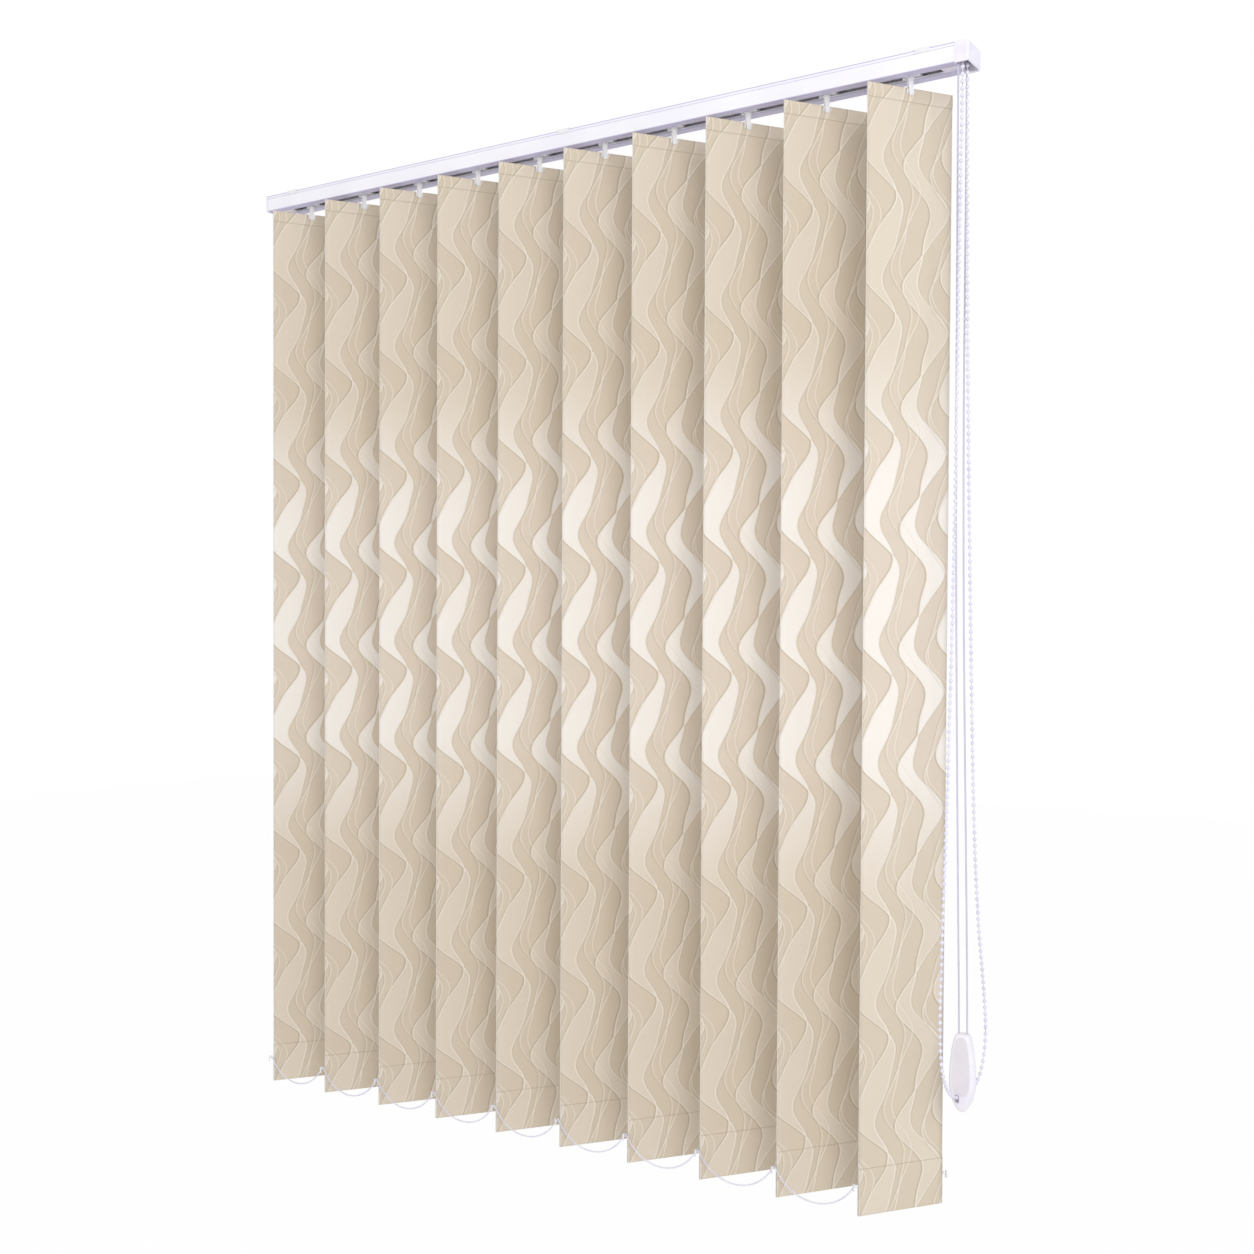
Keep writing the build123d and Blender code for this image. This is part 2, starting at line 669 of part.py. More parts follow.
def cord_radii(points, wanted):
    """Corner radii of a cord's route: 0.45 of the shorter run over the tangent of half the turn."""
    radii = []
    for index in range(1, len(points) - 1):
        back = Vector(points[index]) - Vector(points[index - 1])
        ahead = Vector(points[index + 1]) - Vector(points[index])
        half_turn = math.radians(back.get_angle(ahead) / 2)
        widest = 0.45 * min(back.length, ahead.length) / math.tan(half_turn)
        radii.append(wanted.get(index, widest))
    return radii


def cord_tube(points, wanted, radius, name):
    """Plain round tube along a route of straight runs and tangent arcs."""
    radii = cord_radii(points, wanted)
    with BuildPart() as tube:
        with BuildLine() as route:
            FilletPolyline(*points, radius=radii)
        wire = route.wires()[0]
        with BuildSketch(Plane(wire @ 0, z_dir=wire % 0)) as section:
            RegularPolygon(radius, cord_sides)
        sweep(path=wire)
    expected = section.sketch.area * wire.length
    print(name, "radii", [round(value, 1) for value in radii])
    print(name, "volume over section times length", round(tube.part.volume / expected, 4))
    write(tube.part, name)


# Draw cord: up from the weight, over the front guide pulley, along the rail, round the idle
# pulley and back down to the weight.
cord_end_height = cord_weight_top - cord_hole_depth + cord_end_gap
front_end = weight_plane - cord_spacing / 2
back_end = weight_plane + cord_spacing / 2
turn_x = idle_pulley_x - cord_side
cord_points = [
    (front_end, cord_weight_side, cord_end_height),
    (front_end, cord_weight_side - 0.3, cord_weight_top + cord_exit_rise),
    (front_end - 1.5, cord_weight_side - 3, cord_weight_top + cord_bend_rise),
    (strand_plane + 1, -12, cord_middle_height),
    (strand_plane, -cord_side, pulley_z - cord_straight_drop),
    (strand_plane, -cord_side, cord_height),
    (turn_x, -cord_side, cord_height),
    (turn_x, cord_side, cord_height),
    (strand_plane, cord_side, cord_height),
    (strand_plane, cord_side, pulley_z - cord_straight_drop),
    (strand_plane + 1, 13, cord_middle_height),
    (back_end - 3, cord_weight_side + 2, cord_weight_top + cord_bend_rise),
    (back_end - 0.4, cord_weight_side + 0.2, cord_weight_top + cord_exit_rise),
    (back_end, cord_weight_side, cord_end_height),
]
idle_turn = cord_side - cord_turn_slack
cord_turns = {5: guide_pulley_radius, 6: idle_turn, 7: idle_turn, 8: guide_pulley_radius}
cord_tube(cord_points, cord_turns, cord_radius, "draw_cord")

# Control chain: a loop that hangs from the chain wheel and opens out towards the bottom,
# where it runs through the slot of the cord weight.
wheel_top = rod_height + wheel_pitch_radius
front_side = rod_side - wheel_pitch_radius
back_side = rod_side + wheel_pitch_radius
chain_points = [
    (chain_plane, rod_side - chain_end_gap, wheel_top),
    (chain_plane, front_side, wheel_top),
    (chain_plane, front_side, -90),
    (chain_plane, -26, -330),
    (chain_plane, -28, -620),
    (chain_plane, -46, -950),
    (chain_plane, -61, -1140),
    (chain_plane, -65, -1225),
    (chain_plane, -56, -1286),
    (chain_plane, -28, -1320),
    (chain_plane, 10, -1332),
    (chain_plane, 50, -1334),
    (chain_plane, 88, -1320),
    (chain_plane, 106, -1275),
    (chain_plane, 96, -1210),
    (chain_plane, 68, -1110),
    (chain_plane, 46, -950),
    (chain_plane, 22, -590),
    (chain_plane, 8, -330),
    (chain_plane, back_side, -90),
    (chain_plane, back_side, wheel_top),
    (chain_plane, rod_side + chain_end_gap, wheel_top),
]
wheel_turn = wheel_pitch_radius - chain_end_gap - cord_turn_slack
chain_turns = {1: wheel_turn, 20: wheel_turn}
cord_tube(chain_points, chain_turns, control_chain_radius, "control_chain")
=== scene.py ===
import bpy, bmesh, math, random
from mathutils import Matrix, Vector


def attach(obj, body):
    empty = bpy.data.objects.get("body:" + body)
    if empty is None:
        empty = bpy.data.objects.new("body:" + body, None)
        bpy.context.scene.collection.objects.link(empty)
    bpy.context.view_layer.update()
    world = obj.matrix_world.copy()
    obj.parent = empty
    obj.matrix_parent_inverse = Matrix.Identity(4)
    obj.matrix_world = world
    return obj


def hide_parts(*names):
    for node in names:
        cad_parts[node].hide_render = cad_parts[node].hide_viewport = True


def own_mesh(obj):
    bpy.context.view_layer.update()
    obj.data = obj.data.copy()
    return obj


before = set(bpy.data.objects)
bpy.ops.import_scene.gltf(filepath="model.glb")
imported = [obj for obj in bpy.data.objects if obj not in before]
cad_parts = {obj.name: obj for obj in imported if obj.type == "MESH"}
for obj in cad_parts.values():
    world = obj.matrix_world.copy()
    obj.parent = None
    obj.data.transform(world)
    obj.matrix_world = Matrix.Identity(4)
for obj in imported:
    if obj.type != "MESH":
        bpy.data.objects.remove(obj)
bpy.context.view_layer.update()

# Camera: stands to the right of the control end, a little below the middle of the louvres,
# and looks up very slightly. It gives the whole blind with the rail running away to the left.
optics = bpy.data.cameras.new("camera")
optics.sensor_width = 36.0
optics.lens = 42.615
optics.shift_y = 0.03888
optics.clip_end = 40.0
camera = bpy.data.objects.new("camera", optics)
bpy.context.scene.collection.objects.link(camera)
turn, tilt, roll = math.radians(33.01), math.radians(-1.293), math.radians(0.282)
ahead = Vector((-math.sin(turn) * math.cos(tilt), math.cos(turn) * math.cos(tilt), math.sin(tilt)))
level_right = ahead.cross(Vector((0, 0, 1))).normalized()
level_up = level_right.cross(ahead)
right = math.cos(roll) * level_right + math.sin(roll) * level_up
up = -math.sin(roll) * level_right + math.cos(roll) * level_up
stand = (1.27522, -1.806033, -0.750818)
camera.matrix_world = Matrix.Translation(stand) @ Matrix((right, up, -ahead)).transposed().to_4x4()
bpy.context.scene.camera = camera
bpy.context.scene.view_settings.view_transform = "Standard"


# Draw cord: one white braided polyester cord, 2.4 mm thick. Both ends are knotted inside the
# cord weight; it passes over the guide pulleys, along the rail and round the idle pulley.
def node_group(name, inputs, outputs):
    """Empty shader group with the named inputs (name, kind, default) and outputs (name, kind)."""
    group = bpy.data.node_groups.new(name, "ShaderNodeTree")
    for label, kind, default in inputs:
        socket = group.interface.new_socket(label, in_out="INPUT", socket_type=kind)
        if default is not None:
            socket.default_value = default
    for label, kind in outputs:
        group.interface.new_socket(label, in_out="OUTPUT", socket_type=kind)
    return group, group.nodes.new("NodeGroupInput"), group.nodes.new("NodeGroupOutput")


def plug(tree, value, socket):
    """Feeds a socket from another node's output, or gives it a number."""
    if isinstance(value, bpy.types.NodeSocket):
        tree.links.new(value, socket)
    else:
        socket.default_value = value


def math_node(tree, kind, *values, clamp=False):
    """Math node of the given kind over sockets and numbers; returns its result."""
    node = tree.nodes.new("ShaderNodeMath")
    node.operation, node.use_clamp = kind, clamp
    for index, value in enumerate(values):
        plug(tree, value, node.inputs[index])
    return node.outputs[0]


def step_between(tree, value, low, high, at_low=0.0, at_high=1.0):
    """Smooth step of a value between two limits; returns what it is worth there."""
    node = tree.nodes.new("ShaderNodeMapRange")
    node.interpolation_type = "SMOOTHSTEP"
    plug(tree, value, node.inputs["Value"])
    plug(tree, low, node.inputs["From Min"])
    plug(tree, high, node.inputs["From Max"])
    node.inputs["To Min"].default_value = at_low
    node.inputs["To Max"].default_value = at_high
    return node.outputs["Result"]


def blend_colour(tree, share, under, over):
    """Mixes two colours by a share; each is a socket or four numbers."""
    node = tree.nodes.new("ShaderNodeMix")
    node.data_type = "RGBA"
    plug(tree, share, node.inputs["Factor"])
    plug(tree, under, node.inputs["A"])
    plug(tree, over, node.inputs["B"])
    return node.outputs["Result"]


def linear(red, green, blue):
    """Colour as the eye names it, turned into the numbers that a shader takes."""
    shares = [c / 12.92 if c <= 0.04045 else ((c + 0.055) / 1.055) ** 2.4 for c in (red, green, blue)]
    return (*shares, 1.0)


def new_finish(name, roughness=0.5, **settings):
    """Material with a plain Principled shader; returns it, its node tree and the shader."""
    finish = bpy.data.materials.new(name)
    finish.use_nodes = True
    tree = finish.node_tree
    shader = tree.nodes["Principled BSDF"]
    shader.inputs["Roughness"].default_value = roughness
    for label, value in settings.items():
        shader.inputs[label.replace("_", " ")].default_value = value
    return finish, tree, shader


def bump_from(tree, height, shader, distance, strength=1.0):
    """Feeds a height to the shader's normal."""
    node = tree.nodes.new("ShaderNodeBump")
    node.inputs["Distance"].default_value = distance
    node.inputs["Strength"].default_value = strength
    tree.links.new(height, node.inputs["Height"])
    tree.links.new(node.outputs["Normal"], shader.inputs["Normal"])


def place(tree):
    """Coordinates of the surface in the frame, in metres."""
    return tree.nodes.new("ShaderNodeTexCoord").outputs["Object"]


braid, braid_in, braid_out = node_group(
    "braided strands",
    [("Vector", "NodeSocketVector", None), ("Pitch", "NodeSocketFloat", 0.0016)],
    [("Strand", "NodeSocketFloat"), ("Height", "NodeSocketFloat")])
parts = braid.nodes.new("ShaderNodeSeparateXYZ")
braid.links.new(braid_in.outputs["Vector"], parts.inputs[0])
across_cord = math_node(braid, "ADD", parts.outputs["X"], parts.outputs["Y"])
one_way = math_node(braid, "ADD", parts.outputs["Z"], across_cord)
other_way = math_node(braid, "SUBTRACT", parts.outputs["Z"], across_cord)
full_turn = math_node(braid, "DIVIDE", math.tau, braid_in.outputs["Pitch"])
first = math_node(braid, "SINE", math_node(braid, "MULTIPLY", one_way, full_turn))
second = math_node(braid, "SINE", math_node(braid, "MULTIPLY", other_way, full_turn))
crossing = math_node(braid, "MULTIPLY", first, second)
braid.links.new(step_between(braid, crossing, -0.6, 0.6), braid_out.inputs["Strand"])
braid.links.new(crossing, braid_out.inputs["Height"])

cord_finish, tree, shader = new_finish("white braid", 0.72, Sheen_Weight=0.2)
strands = tree.nodes.new("ShaderNodeGroup")
strands.node_tree = braid
strands.inputs["Pitch"].default_value = 0.0018
tree.links.new(place(tree), strands.inputs["Vector"])
# Painted shade: the hollows between the braid's strands, where the crossing is low, are painted darker lilac;
# the same crossing drives the bump.
braid_with_painted_gap_shade = blend_colour(tree, strands.outputs["Strand"], linear(0.74, 0.73, 0.85),
                             linear(0.90, 0.89, 0.95))
tree.links.new(braid_with_painted_gap_shade, shader.inputs["Base Color"])
bump_from(tree, strands.outputs["Height"], shader, 0.00025, 0.6)


def smooth_line(name, points):
    """Smooth curve with the points as its control points."""
    curve = bpy.data.curves.new(name, "CURVE")
    curve.dimensions = "3D"
    curve.resolution_u = 12
    spline = curve.splines.new("NURBS")
    spline.points.add(len(points) - 1)
    for point, at in zip(spline.points, points):
        point.co = (*at, 1.0)
    spline.order_u = 3
    spline.use_endpoint_u = True
    return curve


def show(name, data, finish):
    """Puts a mesh or a curve in the scene as a piece, with its finish."""
    piece = bpy.data.objects.new(name, data)
    bpy.context.scene.collection.objects.link(piece)
    data.materials.append(finish)
    return piece


cord_route = [
    (0.6065, 0.0045, -1.254), (0.6065, 0.0042, -1.217), (0.605, 0.0015, -1.097), (0.6015, -0.012, -0.6),
    (0.6005, -0.015, -0.104), (0.6005, -0.015, -0.022), (0.6005, -0.015, -0.008), (0.586, -0.015, -0.008),
    (-0.593, -0.015, -0.008), (-0.6075, -0.015, -0.008), (-0.6075, 0.015, -0.008), (-0.593, 0.015, -0.008),
    (0.586, 0.015, -0.008), (0.6005, 0.015, -0.008), (0.6005, 0.015, -0.022), (0.6005, 0.015, -0.104),
    (0.6015, 0.013, -0.6), (0.6145, 0.0065, -1.097), (0.6171, 0.0047, -1.217), (0.6175, 0.0045, -1.254)]
cord_curve = smooth_line("draw_cord_line", cord_route)
cord_curve.bevel_depth = 0.0012
cord_curve.bevel_resolution = 3
cord_curve.use_fill_caps = True
draw_cord = show("braided_draw_cord", cord_curve, cord_finish)
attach(draw_cord, "headrail_assembly")
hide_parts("draw_cord")


# Control chain: an endless chain of white plastic balls moulded on a cord, which turns the
# chain wheel. It hangs as a long loop and passes through the eye of the cord weight.
grain, grain_in, grain_out = node_group(
    "moulded skin",
    [("Vector", "NodeSocketVector", None), ("Base", "NodeSocketColor", (0.8, 0.8, 0.8, 1.0)),
     ("Shade", "NodeSocketColor", (0.6, 0.6, 0.6, 1.0)), ("Size", "NodeSocketFloat", 0.02),
     ("Roughness", "NodeSocketFloat", 0.4)],
    [("Color", "NodeSocketColor"), ("Roughness", "NodeSocketFloat"), ("Height", "NodeSocketFloat")])
frequency = math_node(grain, "DIVIDE", 1.0, grain_in.outputs["Size"])
cloud = grain.nodes.new("ShaderNodeTexNoise")
cloud.inputs["Detail"].default_value = 3.0
grain.links.new(grain_in.outputs["Vector"], cloud.inputs["Vector"])
grain.links.new(frequency, cloud.inputs["Scale"])
fine = grain.nodes.new("ShaderNodeTexNoise")
fine.inputs["Detail"].default_value = 2.0
grain.links.new(grain_in.outputs["Vector"], fine.inputs["Vector"])
grain.links.new(math_node(grain, "MULTIPLY", frequency, 40.0), fine.inputs["Scale"])
patch = step_between(grain, cloud.outputs["Fac"], 0.35, 0.7)
grain.links.new(blend_colour(grain, math_node(grain, "MULTIPLY", patch, 0.35), grain_in.outputs["Base"],
                             grain_in.outputs["Shade"]), grain_out.inputs["Color"])
rough_change = math_node(grain, "MULTIPLY", math_node(grain, "SUBTRACT", cloud.outputs["Fac"], 0.5), 0.18)
grain.links.new(math_node(grain, "ADD", grain_in.outputs["Roughness"], rough_change, clamp=True),
                grain_out.inputs["Roughness"])
grain.links.new(fine.outputs["Fac"], grain_out.inputs["Height"])


def moulded(name, base, shade, roughness, size=0.02, relief=0.00006, **settings):
    """Plastic or paint with a faint cloudiness and a fine skin."""
    finish, tree, shader = new_finish(name, roughness, **settings)
    skin = tree.nodes.new("ShaderNodeGroup")
    skin.node_tree = grain
    skin.inputs["Base"].default_value = linear(*base)
    skin.inputs["Shade"].default_value = linear(*shade)
    skin.inputs["Size"].default_value = size
    skin.inputs["Roughness"].default_value = roughness
    tree.links.new(place(tree), skin.inputs["Vector"])
    tree.links.new(skin.outputs["Color"], shader.inputs["Base Color"])
    tree.links.new(skin.outputs["Roughness"], shader.inputs["Roughness"])
    bump_from(tree, skin.outputs["Height"], shader, relief)
    return finish


bead_finish = moulded("white chain plastic", (0.90, 0.89, 0.95), (0.76, 0.75, 0.87), 0.3, Coat_Weight=0.3)


def line_of(name, route):
    """Points of the smooth curve of a route."""
    probe = bpy.data.objects.new(name, smooth_line(name, route))
    bpy.context.scene.collection.objects.link(probe)
    mesh = bpy.data.meshes.new_from_object(probe)
    line = [v.co.copy() for v in mesh.vertices]
    bpy.data.objects.remove(probe)
    bpy.data.meshes.remove(mesh)
    return line


def spaced(line, pitch, next_at):
    """Points along a line at an even pitch, with the direction at each."""
    placed, gone = [], 0.0
    for start, end in zip(line, line[1:]):
        run = (end - start).length
        while run > 1e-7 and gone + run >= next_at:
            placed.append((start.lerp(end, (next_at - gone) / run), (end - start).normalized()))
            next_at += pitch
        gone += run
    return placed


def bead_chain(name, line, placed, bead, long, wire, finish):
    """One mesh of oval balls at the placed points, on a thin cord that follows the line."""
    around, stacks, wire_sides = 10, 7, 5
    ball = [(math.sin(math.pi * ring / stacks) * math.cos(math.tau * side / around),
             math.sin(math.pi * ring / stacks) * math.sin(math.tau * side / around),
             math.cos(math.pi * ring / stacks)) for ring in range(1, stacks) for side in range(around)]
    ball += [(0, 0, 1), (0, 0, -1)]
    top, bottom = len(ball) - 2, len(ball) - 1
    skin = [(top, side, (side + 1) % around) for side in range(around)]
    for ring in range(stacks - 2):
        for side in range(around):
            beside = (side + 1) % around
            skin.append((ring * around + side, (ring + 1) * around + side,
                         (ring + 1) * around + beside, ring * around + beside))
    last = (stacks - 2) * around
    skin += [(last + (side + 1) % around, last + side, bottom) for side in range(around)]
    points, faces = [], []
    for at, way in placed:
        turned = way.to_track_quat("Z", "Y").to_matrix()
        faces += [tuple(len(points) + corner for corner in face) for face in skin]
        points += [at + turned @ Vector((bead * x, bead * y, long * z)) for x, y, z in ball]
    start = len(points)
    wire_ring = [Vector((wire * math.cos(math.tau * side / wire_sides),
                         wire * math.sin(math.tau * side / wire_sides), 0)) for side in range(wire_sides)]
    for index, at in enumerate(line):
        way = (line[min(index + 1, len(line) - 1)] - line[max(index - 1, 0)]).normalized()
        turned = way.to_track_quat("Z", "Y").to_matrix()
        points += [at + turned @ corner for corner in wire_ring]
    for index in range(len(line) - 1):
        near = start + wire_sides * index
        far = near + wire_sides
        for side in range(wire_sides):
            beside = (side + 1) % wire_sides
            faces.append((near + side, near + beside, far + beside, far + side))
    mesh = bpy.data.meshes.new(name)
    mesh.from_pydata(points, [], faces)
    mesh.polygons.foreach_set("use_smooth", [True] * len(faces))
    return show(name, mesh, finish)


chain_route = [
    (0.607, -0.0092, -0.0064), (0.607, -0.0176, -0.0064), (0.607, -0.0176, -0.0215),
    (0.607, -0.0176, -0.09), (0.607, -0.026, -0.33), (0.607, -0.028, -0.62), (0.607, -0.046, -0.95),
    (0.607, -0.061, -1.14), (0.607, -0.065, -1.225), (0.607, -0.056, -1.286), (0.607, -0.028, -1.32),
    (0.607, 0.01, -1.332), (0.607, 0.05, -1.334), (0.607, 0.088, -1.32), (0.607, 0.106, -1.275),
    (0.607, 0.096, -1.21), (0.607, 0.068, -1.11), (0.607, 0.046, -0.95), (0.607, 0.022, -0.59),
    (0.607, 0.008, -0.33), (0.607, -0.0004, -0.09), (0.607, -0.0004, -0.0215), (0.607, -0.0004, -0.0064),
    (0.607, -0.0088, -0.0064)]
ball_pitch, ball_radius, ball_half_length, cord_radius = 0.009, 0.0026, 0.0028, 0.0006
chain_line = line_of("control_chain_line", chain_route)
chain_places = spaced(chain_line, ball_pitch, ball_pitch / 2)
control_chain = bead_chain("control_bead_chain", chain_line, chain_places, ball_radius, ball_half_length,
                           cord_radius, bead_finish)
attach(control_chain, "headrail_assembly")
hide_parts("control_chain")


# Cord weight: a white teardrop moulding about a hand's finger long. The two ends of the draw cord
# are knotted in its top, a shallow panel is let into each face, and the control chain runs
# through an eye near its tip.
weight_middle, weight_side, weight_top = 0.612, 0.0045, -1.247
weight_sides, side_roundness, face_roundness = 32, 0.62, 0.42
# Each ring: drop below the top, half width and half depth, in millimetres.
weight_profile = [
    (0.0, 7.4, 6.0), (1.4, 9.0, 7.2), (8, 11.2, 7.8), (20, 13.8, 8.0), (32, 15.4, 8.0), (45, 16.3, 8.0),
    (58, 16.9, 8.0), (68, 16.7, 7.9), (77, 14.9, 7.6), (86, 12.0, 7.0), (92, 9.2, 6.2), (96.4, 6.4, 5.0),
    (98.9, 3.9, 3.6), (100, 1.6, 1.6)]
weight_form = bmesh.new()
weight_rings = []
for drop, half_width, half_depth in weight_profile:
    ring = []
    for index in range(weight_sides):
        angle = math.tau * index / weight_sides
        c, s = math.cos(angle), math.sin(angle)
        ring.append(weight_form.verts.new((
            weight_middle + 0.001 * half_width * math.copysign(abs(c) ** side_roundness, c),
            weight_side + 0.001 * half_depth * math.copysign(abs(s) ** face_roundness, s),
            weight_top - 0.001 * drop)))
    weight_rings.append(ring)
for upper, lower in zip(weight_rings, weight_rings[1:]):
    for index in range(weight_sides):
        weight_form.faces.new((upper[index - 1], upper[index], lower[index], lower[index - 1]))
weight_form.faces.new(weight_rings[0])
weight_form.faces.new(reversed(weight_rings[-1]))
bmesh.ops.recalc_face_normals(weight_form, faces=weight_form.faces)
for face in weight_form.faces:
    face.smooth = True
weight_mesh = bpy.data.meshes.new("cord_weight_body")
weight_form.to_mesh(weight_mesh)
weight_form.free()
weight_finish = moulded("white weight plastic", (0.94, 0.93, 0.965), (0.88, 0.86, 0.93), 0.28, size=0.03,
                        Coat_Weight=0.4)
panel_finish = moulded("pale panel plastic", (0.895, 0.872, 0.90), (0.85, 0.82, 0.87), 0.5, size=0.02,
                       relief=0.0001)
cord_weight = show("teardrop_cord_weight", weight_mesh, weight_finish)
weight_mesh.materials.append(panel_finish)
# Half the outline of a panel: half width and drop below the top, in millimetres.
panel_outline = [(6.2, 4.0), (9.0, 10), (11.6, 22), (12.9, 36), (13.5, 50), (13.2, 64), (11.2, 75), (8.0, 84),
                 (4.6, 90), (1.4, 93)]
panel_outline += [(-half, drop) for half, drop in reversed(panel_outline)]
panel_floor, past_face = 0.0074, 0.0120
cutters = []
for face_side in (-1, 1):
    panel_form = bmesh.new()
    near = [panel_form.verts.new((weight_middle + 0.001 * half, weight_side + face_side * panel_floor,
                                  weight_top - 0.001 * drop)) for half, drop in panel_outline]
    far = [panel_form.verts.new((v.co.x, weight_side + face_side * past_face, v.co.z)) for v in near]
    panel_form.faces.new(near)
    panel_form.faces.new(far)
    for index in range(len(near)):
        panel_form.faces.new((near[index - 1], near[index], far[index], far[index - 1]))
    bmesh.ops.recalc_face_normals(panel_form, faces=panel_form.faces)
    panel_mesh = bpy.data.meshes.new("weight_panel")
    panel_form.to_mesh(panel_mesh)
    panel_form.free()
    panel_mesh.materials.append(panel_finish)
    cutters.append(panel_mesh)
eye_size, eye_rounding = (0.0064, 0.04, 0.011), 0.003
eye_form = bmesh.new()
bmesh.ops.create_cube(eye_form, size=1.0, matrix=Matrix.Translation((0.607, weight_side, -1.330))
                      @ Matrix.Diagonal((*eye_size, 1.0)))
through_edges = [e for e in eye_form.edges if abs(e.verts[0].co.y - e.verts[1].co.y) > 0.01]
bmesh.ops.bevel(eye_form, geom=through_edges, offset=eye_rounding, segments=4, affect="EDGES", profile=0.5)
eye_mesh = bpy.data.meshes.new("weight_eye")
eye_form.to_mesh(eye_mesh)
eye_form.free()
eye_mesh.materials.append(weight_finish)
cutters.append(eye_mesh)
cut_pieces = []
for cutter_mesh in cutters:
    cutter = bpy.data.objects.new(cutter_mesh.name, cutter_mesh)
    bpy.context.scene.collection.objects.link(cutter)
    cut = cord_weight.modifiers.new("cut", "BOOLEAN")
    cut.object, cut.operation, cut.solver, cut.material_mode = cutter, "DIFFERENCE", "EXACT", "TRANSFER"
    cut_pieces.append(cutter)
rim = cord_weight.modifiers.new("rim", "BEVEL")
rim.width, rim.segments, rim.limit_method, rim.angle_limit = 0.0005, 2, "ANGLE", math.radians(50)
finished = bpy.data.meshes.new_from_object(cord_weight.evaluated_get(bpy.context.evaluated_depsgraph_get()))
cord_weight.modifiers.clear()
cord_weight.data = finished
for cutter in cut_pieces:
    bpy.data.objects.remove(cutter)
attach(cord_weight, "headrail_assembly")
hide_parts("cord_weight")


# Headrail: one extruded aluminium channel, powder coated white, open below along a narrow slot.
# Its ceiling clips are sprung steel, painted to match, each held up by one screw.
def dress(finish, *names):
    """Gives a finish to solids that came with the frame."""
    for name in names:
        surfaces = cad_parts[name].data.materials
        surfaces.clear()
        surfaces.append(finish)


rail_finish = moulded("white rail coating", (0.965, 0.96, 0.985), (0.90, 0.895, 0.95), 0.36, size=0.12,
                      relief=0.00003)
clip_finish = moulded("white painted steel", (0.93, 0.93, 0.94), (0.84, 0.84, 0.87), 0.42, size=0.01)
tree = rail_finish.node_tree
shader = tree.nodes["Principled BSDF"]
rail_place = tree.nodes.new("ShaderNodeSeparateXYZ")
tree.links.new(place(tree), rail_place.inputs[0])
rail_level = rail_place.outputs["Z"]
# Painted shade: a lilac line along the clip groove and darker lilac bands at the rail's top and bottom edges
# stand in for the shade that falls there.
groove_level, upper_edge, lower_edge = -0.0059, (-0.0034, -0.0022), (-0.0251, -0.0260)
from_groove = math_node(tree, "ABSOLUTE", math_node(tree, "SUBTRACT", rail_level, groove_level))
groove_painted_shade = step_between(tree, from_groove, 0.0011, 0.0002)
edge_painted_shade = math_node(tree, "MAXIMUM", step_between(tree, rail_level, *upper_edge),
                      step_between(tree, rail_level, *lower_edge))
coat = shader.inputs["Base Color"].links[0].from_socket
groove_shaded_coat = blend_colour(tree, math_node(tree, "MULTIPLY", groove_painted_shade, 0.45), coat, linear(0.80, 0.79, 0.90))
edge_shaded_coat = blend_colour(tree, math_node(tree, "MULTIPLY", edge_painted_shade, 0.8), groove_shaded_coat, linear(0.70, 0.68, 0.84))
tree.links.new(edge_shaded_coat, shader.inputs["Base Color"])
dress(rail_finish, "headrail")
dress(clip_finish, "ceiling_clip_1", "ceiling_clip_2", "ceiling_clip_3")


# End caps: two white plastic mouldings pushed into the rail's ends. The one at the control end
# is longer and open below, where the chain and the cords come out.
cap_finish = moulded("white cap plastic", (0.94, 0.93, 0.975), (0.86, 0.84, 0.93), 0.4, size=0.02,
                     relief=0.0001)
dress(cap_finish, "idle_end_cap", "control_housing")


# Drive: a drawn aluminium rod with four flutes, a chain wheel on its end, and three cord
# pulleys, all of plain unpainted material inside the rail.
rod_finish, tree, shader = new_finish("drawn aluminium", 0.3, Metallic=1.0)
streaks = tree.nodes.new("ShaderNodeTexNoise")
streaks.inputs["Scale"].default_value = 60.0
stretch = tree.nodes.new("ShaderNodeMapping")
stretch.inputs["Scale"].default_value = (0.05, 40.0, 40.0)
tree.links.new(place(tree), stretch.inputs["Vector"])
tree.links.new(stretch.outputs["Vector"], streaks.inputs["Vector"])
tree.links.new(blend_colour(tree, streaks.outputs["Fac"], linear(0.70, 0.70, 0.72), linear(0.86, 0.86, 0.87)),
               shader.inputs["Base Color"])
tree.links.new(step_between(tree, streaks.outputs["Fac"], 0.3, 0.8, 0.22, 0.42), shader.inputs["Roughness"])
bump_from(tree, streaks.outputs["Fac"], shader, 0.00004)
drive_finish = moulded("natural drive plastic", (0.88, 0.88, 0.89), (0.78, 0.78, 0.82), 0.35, size=0.006)
dress(rod_finish, "tilt_rod")
dress(drive_finish, "chain_wheel", "idle_pulley", "guide_pulley_front", "guide_pulley_back")


# Trucks: moulded housings on four wheels, one for each louvre, riding on the slot's edges.
# They are a slightly greyer plastic than the rail and the hooks.
truck_finish = moulded("pale truck plastic", (0.93, 0.93, 0.95), (0.84, 0.84, 0.88), 0.45, size=0.01)
hook_finish = moulded("white hook plastic", (0.95, 0.95, 0.955), (0.87, 0.87, 0.90), 0.38, size=0.008)
louvre_numbers = range(1, 11)
for number in louvre_numbers:
    dress(truck_finish, f"carrier_{number:02d}")
    dress(hook_finish, f"hanger_{number:02d}")


# Bottom weights: flat white plastic plates inside the hems. The knobbed pins at their ends
# stick out of the hem to carry the stabiliser chains.
plate_finish = moulded("white plate plastic", (0.93, 0.93, 0.94), (0.85, 0.85, 0.88), 0.42, size=0.012)
for number in louvre_numbers:
    dress(plate_finish, f"bottom_weight_{number:02d}")


# Louvres: strips of beige jacquard cloth with paler satin leaves in long waves. The top is
# folded over the hanger card, the bottom is folded up round the weight, and both are welded.
louvre_turn = math.radians(55)
louvre_top, louvre_bottom = -0.039, -1.489
louvre_pitch, middle_number = 0.118, 5.5

